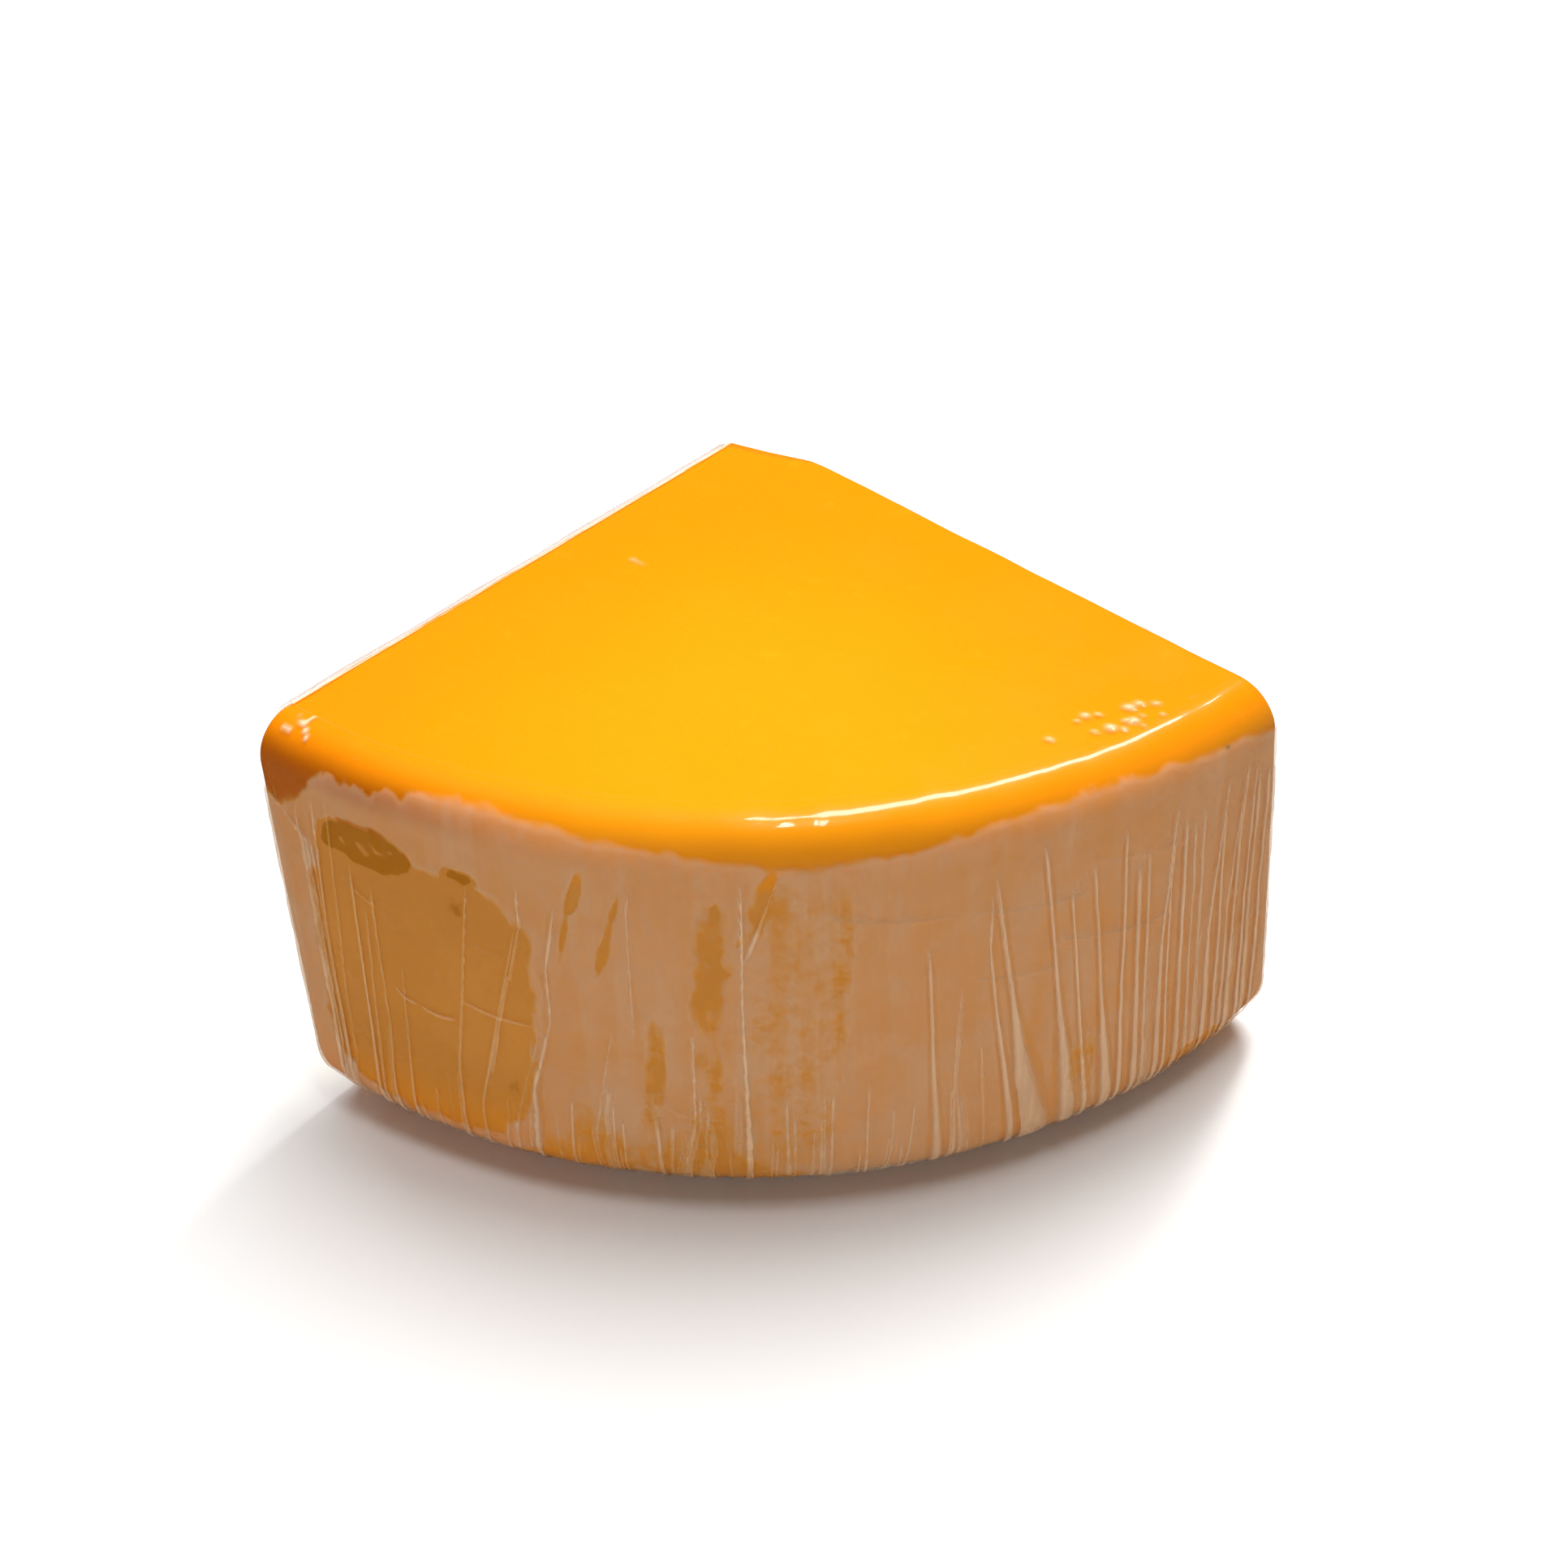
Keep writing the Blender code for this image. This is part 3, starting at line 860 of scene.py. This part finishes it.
def film_look():
    """Clear film: hazy where it stands off the rind, the haze partly the loose film's own and partly a
    painted reflection of the pale floor; whitish along its folds, clear where it clings; with a painted
    reflection where seen edge-on, painted shade along dark creases and painted glints.
    """
    look = Look("cling_film")

    def layer(name):
        return look.node("ShaderNodeAttribute", out="Fac", attribute_name=name)

    haze, blister, past_edge = layer("haze"), layer("blister"), layer("past_edge")
    height = look.node("ShaderNodeSeparateXYZ", out="Z", Vector=look.node("ShaderNodeTexCoord", out="Object"))
    torn = look.noise(330.0, detail=5.0, roughness=0.6)
    ragged = look.maths("MULTIPLY", look.maths("SUBTRACT", torn, 0.5), 3.0)
    streaks = look.noise(260.0, detail=4.0, stretch=(1.0, 1.0, 0.06))
    ragged = look.maths("ADD", ragged, look.maths("MULTIPLY", look.maths("SUBTRACT", streaks, 0.5), 2.5))
    ragged = look.maths("MULTIPLY", ragged, look.between(height, HEIGHT - 0.022, HEIGHT - 0.010, 1.0, 0.25))
    margin = look.maths("ADD", haze, ragged)
    # The hazy veil is partly the loose film's own haze, partly a painted reflection of the pale floor.
    hazy = look.between(margin, -0.8, 1.4)
    cloud = look.between(look.noise(70.0, detail=6.0), 0.3, 0.7, 0.66, 1.16)
    cloud = look.maths("MULTIPLY", cloud, look.between(streaks, 0.30, 0.72, 0.80, 1.25))
    veil = look.maths("MULTIPLY", look.maths("MULTIPLY", hazy, cloud), HAZE_AND_REFLECTION_OPACITY)
    lip = look.maths("MULTIPLY", look.between(margin, -0.6, 0.4), look.between(margin, 2.2, 0.8))
    veil = look.maths("ADD", veil, look.maths("MULTIPLY", lip, LIP_OPACITY))
    beside = look.maths("MULTIPLY", look.maths("PINGPONG", layer("pleat"), 0.5), layer("fold_gap"))
    lines = look.maths("MULTIPLY", look.between(beside, 0.45, 1.65, 1.0, 0.0), layer("fold"))
    lines = look.maths("MULTIPLY", lines, look.between(streaks, 0.3, 0.7, 0.65, 1.0))
    valley = look.maths("MULTIPLY", look.between(beside, 1.4, 2.2), look.between(beside, 4.6, 2.8))
    valley = look.maths("MULTIPLY", valley, layer("fold"))
    veil = look.maths("MULTIPLY", veil, look.maths("SUBTRACT", 1.0, look.maths("MULTIPLY", valley, 0.50)))
    veil = look.maths("ADD", veil, look.maths("MULTIPLY", lines, FOLD_OPACITY))
    on_crease = look.between(look.maths("ABSOLUTE", layer("above_crease")), 0.15, 0.80, 1.0, 0.0)
    crease = look.maths("MULTIPLY", layer("crease"), on_crease)
    veil = look.maths("ADD", veil, look.maths("MULTIPLY", look.maths("ABSOLUTE", crease), CREASE_OPACITY))
    # Painted shade: a dark line along the creases below 0.
    crease_shade = look.maths("MULTIPLY", crease, -1.0, clamp=True)
    lit = look.maths("MAXIMUM", lines, look.maths("MULTIPLY", crease, 2.0), clamp=True)
    veil = look.maths("ADD", veil, look.maths("MULTIPLY", layer("corner_veil"), CORNER_OPACITY))
    # Painted reflection: a whitish veil where the film is seen edge-on, standing in for its grazing
    # reflection.
    grazing = look.node("ShaderNodeLayerWeight", out="Facing", Blend=0.35)
    edge = look.between(grazing, 0.78, 1.0, 0.0, GRAZING_REFLECTION_OPACITY)
    veil = look.maths("ADD", veil, look.maths("MULTIPLY", edge, look.between(haze, -2.0, 1.0, 0.3, 1.0)))
    # Painted glint: the blisters and short wrinkles whitened.
    veil = look.maths("ADD", veil, look.maths("MULTIPLY", blister, BLISTER_GLINT_OPACITY))
    strip = look.maths("MULTIPLY", look.between(past_edge, -2.5, -0.5), look.between(past_edge, 1.4, 0.9))
    veil = look.maths("ADD", veil, look.maths("MULTIPLY", strip, STRIP_OPACITY))
    glint = look.maths("MULTIPLY", look.between(past_edge, 1.5, 1.8), look.between(past_edge, 2.3, 2.0))
    glint = look.maths("MULTIPLY", glint, look.between(look.noise(70.0), 0.35, 0.55, 0.3, 1.0))
    veil = look.maths("ADD", veil, look.maths("MULTIPLY", glint, GLINT_OPACITY))
    veil = look.maths("MAXIMUM", veil, CLEAR_OPACITY, clamp=True)
    look.link(veil, "Alpha")
    colour = look.mix(hazy, FILM_CLEAR, FILM_HAZE_AND_REFLECTION)
    colour = look.mix(look.maths("MULTIPLY", lit, 0.9), colour, FILM_FOLD)
    colour = look.mix(crease_shade, colour, FILM_CREASE_SHADE)
    colour = look.mix(layer("cut_face"), colour, FILM_ON_CUT)
    colour = look.mix(strip, colour, FILM_STRIP)
    colour = look.mix(look.maths("MAXIMUM", blister, glint), colour, FILM_GLINT)
    look.link(colour, "Base Color")
    look.link(look.between(hazy, 0.0, 1.0, 0.10, 0.30), "Roughness")
    look.set(Specular_IOR_Level=0.5)
    look.bump(look.noise(380.0, detail=3.0, stretch=(1.0, 1.0, 0.25)), 0.15, 0.0002)
    return look.material


def dress(piece, material, node):
    """Gives a piece its material, hangs it under the root body, and hides the CAD node that it replaces."""
    piece.data.materials.append(material)
    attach(piece, "root")
    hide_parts(node)


# ---- Floor, lights and camera --------------------------------------------------------------------
CAMERA_AIM = Vector((-0.0010, -0.0054, 0.0714))
CAMERA_AZIMUTH = radians(-2.0)
CAMERA_ELEVATION = radians(38.15)
CAMERA_ROLL = radians(-0.52)
CAMERA_DISTANCE = 0.5660
CAMERA_LENS = 51.65
FLOOR_RADIUS = 1.2
FLOOR_COLOUR = (0.93, 0.93, 0.925, 1)
WORLD_COLOUR = (1.0, 0.985, 0.965, 1)
WORLD_LIGHT = 0.045              # what the background gives as light
WORLD_SEEN = 0.90                # and how bright it looks to the camera


def add_floor():
    """A round pale table top, which the glossy wedge doesn't reflect."""
    steps = 96
    turns = [2 * pi * step / steps for step in range(steps)]
    mesh = bpy.data.meshes.new("floor")
    rim = [(FLOOR_RADIUS * cos(turn), FLOOR_RADIUS * sin(turn), LOW[2] - 0.0001) for turn in turns]
    mesh.from_pydata(rim, [], [tuple(range(steps))])
    floor = bpy.data.objects.new("floor", mesh)
    bpy.context.collection.objects.link(floor)
    look = Look("pale_floor")
    look.set(Base_Color=FLOOR_COLOUR, Roughness=0.9, Specular_IOR_Level=0.1)
    mesh.materials.append(look.material)
    floor.visible_glossy = False


def add_light(name, place, aim, size, power):
    """A rectangular lamp at a place, facing its aim."""
    data = bpy.data.lights.new(name, "AREA")
    data.shape = "RECTANGLE"
    data.size, data.size_y = size
    data.energy = power
    light = bpy.data.objects.new(name, data)
    light.location = place
    light.rotation_euler = (Vector(aim) - Vector(place)).to_track_quat("-Z", "Y").to_euler()
    bpy.context.collection.objects.link(light)
    return light


def add_tube(name, start, end, width, power):
    """A long lamp from start to end, its face turned down towards the wedge."""
    start, end = Vector(start), Vector(end)
    middle = (start + end) / 2
    light = add_light(name, middle, middle - Vector((0, 0, 1)), ((end - start).length, width), power)
    along = (end - start).normalized()
    down = (Vector((0, 0, 0.1)) - middle).normalized()
    across = down.cross(along).normalized()
    light.matrix_world = Matrix((along, -across, -along.cross(across))).transposed().to_4x4()
    light.location = middle


def add_lights():
    overhead = add_light("overhead", (0.0, 0.40, 1.6), (0, 0.05, 0), (1.8, 1.3), 22.2)
    fill = add_light("fill", (-0.5, -1.75, 0.9), (0.0, 0, 0.05), (1.5, 0.9), 6.3)
    overhead.visible_glossy = False
    fill.visible_glossy = False
    add_tube("tube", (0.058, -0.05, 1.25), (0.58, 0.95, 1.25), 0.15, 13)
    add_light("window", (-1.1, 1.7, 0.65), (0, 0, 0.1), (0.8, 0.6), 3)
    for x, y in ((0.060, -0.27), (0.096, -0.31), (0.126, -0.31)):
        add_tube("spot", (x, y - 0.12, 1.15), (x, y + 0.12, 1.15), 0.022, 0.6)
    world = bpy.data.worlds.new("studio")
    world.use_nodes = True
    tree = world.node_tree
    background = tree.nodes["Background"]
    background.inputs["Color"].default_value = WORLD_COLOUR
    seen = tree.nodes.new("ShaderNodeLightPath").outputs["Is Camera Ray"]
    strength = tree.nodes.new("ShaderNodeMapRange")
    strength.inputs["To Min"].default_value = WORLD_LIGHT
    strength.inputs["To Max"].default_value = WORLD_SEEN
    tree.links.new(seen, strength.inputs["Value"])
    tree.links.new(strength.outputs[0], background.inputs["Strength"])
    bpy.context.scene.world = world


def add_camera():
    data = bpy.data.cameras.new("camera")
    data.lens = CAMERA_LENS
    data.sensor_width = 36.0
    back = Vector((sin(CAMERA_AZIMUTH) * cos(CAMERA_ELEVATION),
                   -cos(CAMERA_AZIMUTH) * cos(CAMERA_ELEVATION), sin(CAMERA_ELEVATION)))
    right = Vector((0, 0, 1)).cross(back).normalized()
    up = back.cross(right)
    turned_right = right * cos(CAMERA_ROLL) + up * sin(CAMERA_ROLL)
    turned_up = up * cos(CAMERA_ROLL) - right * sin(CAMERA_ROLL)
    camera = bpy.data.objects.new("camera", data)
    camera.matrix_world = Matrix((turned_right, turned_up, back)).transposed().to_4x4()
    camera.location = CAMERA_AIM + back * CAMERA_DISTANCE
    bpy.context.collection.objects.link(camera)
    bpy.context.scene.camera = camera


# ---- The scene -----------------------------------------------------------------------------------
cheese = cheese_piece()
dress(cheese, cheese_look(), "cheese")
coating = coating_piece()
dress(coating, coating_look(), "rind_coating")
film = film_piece()
dress(film, film_look(), "cling_film")

add_floor()
add_lights()
add_camera()
bpy.context.scene.view_settings.view_transform = "Standard"
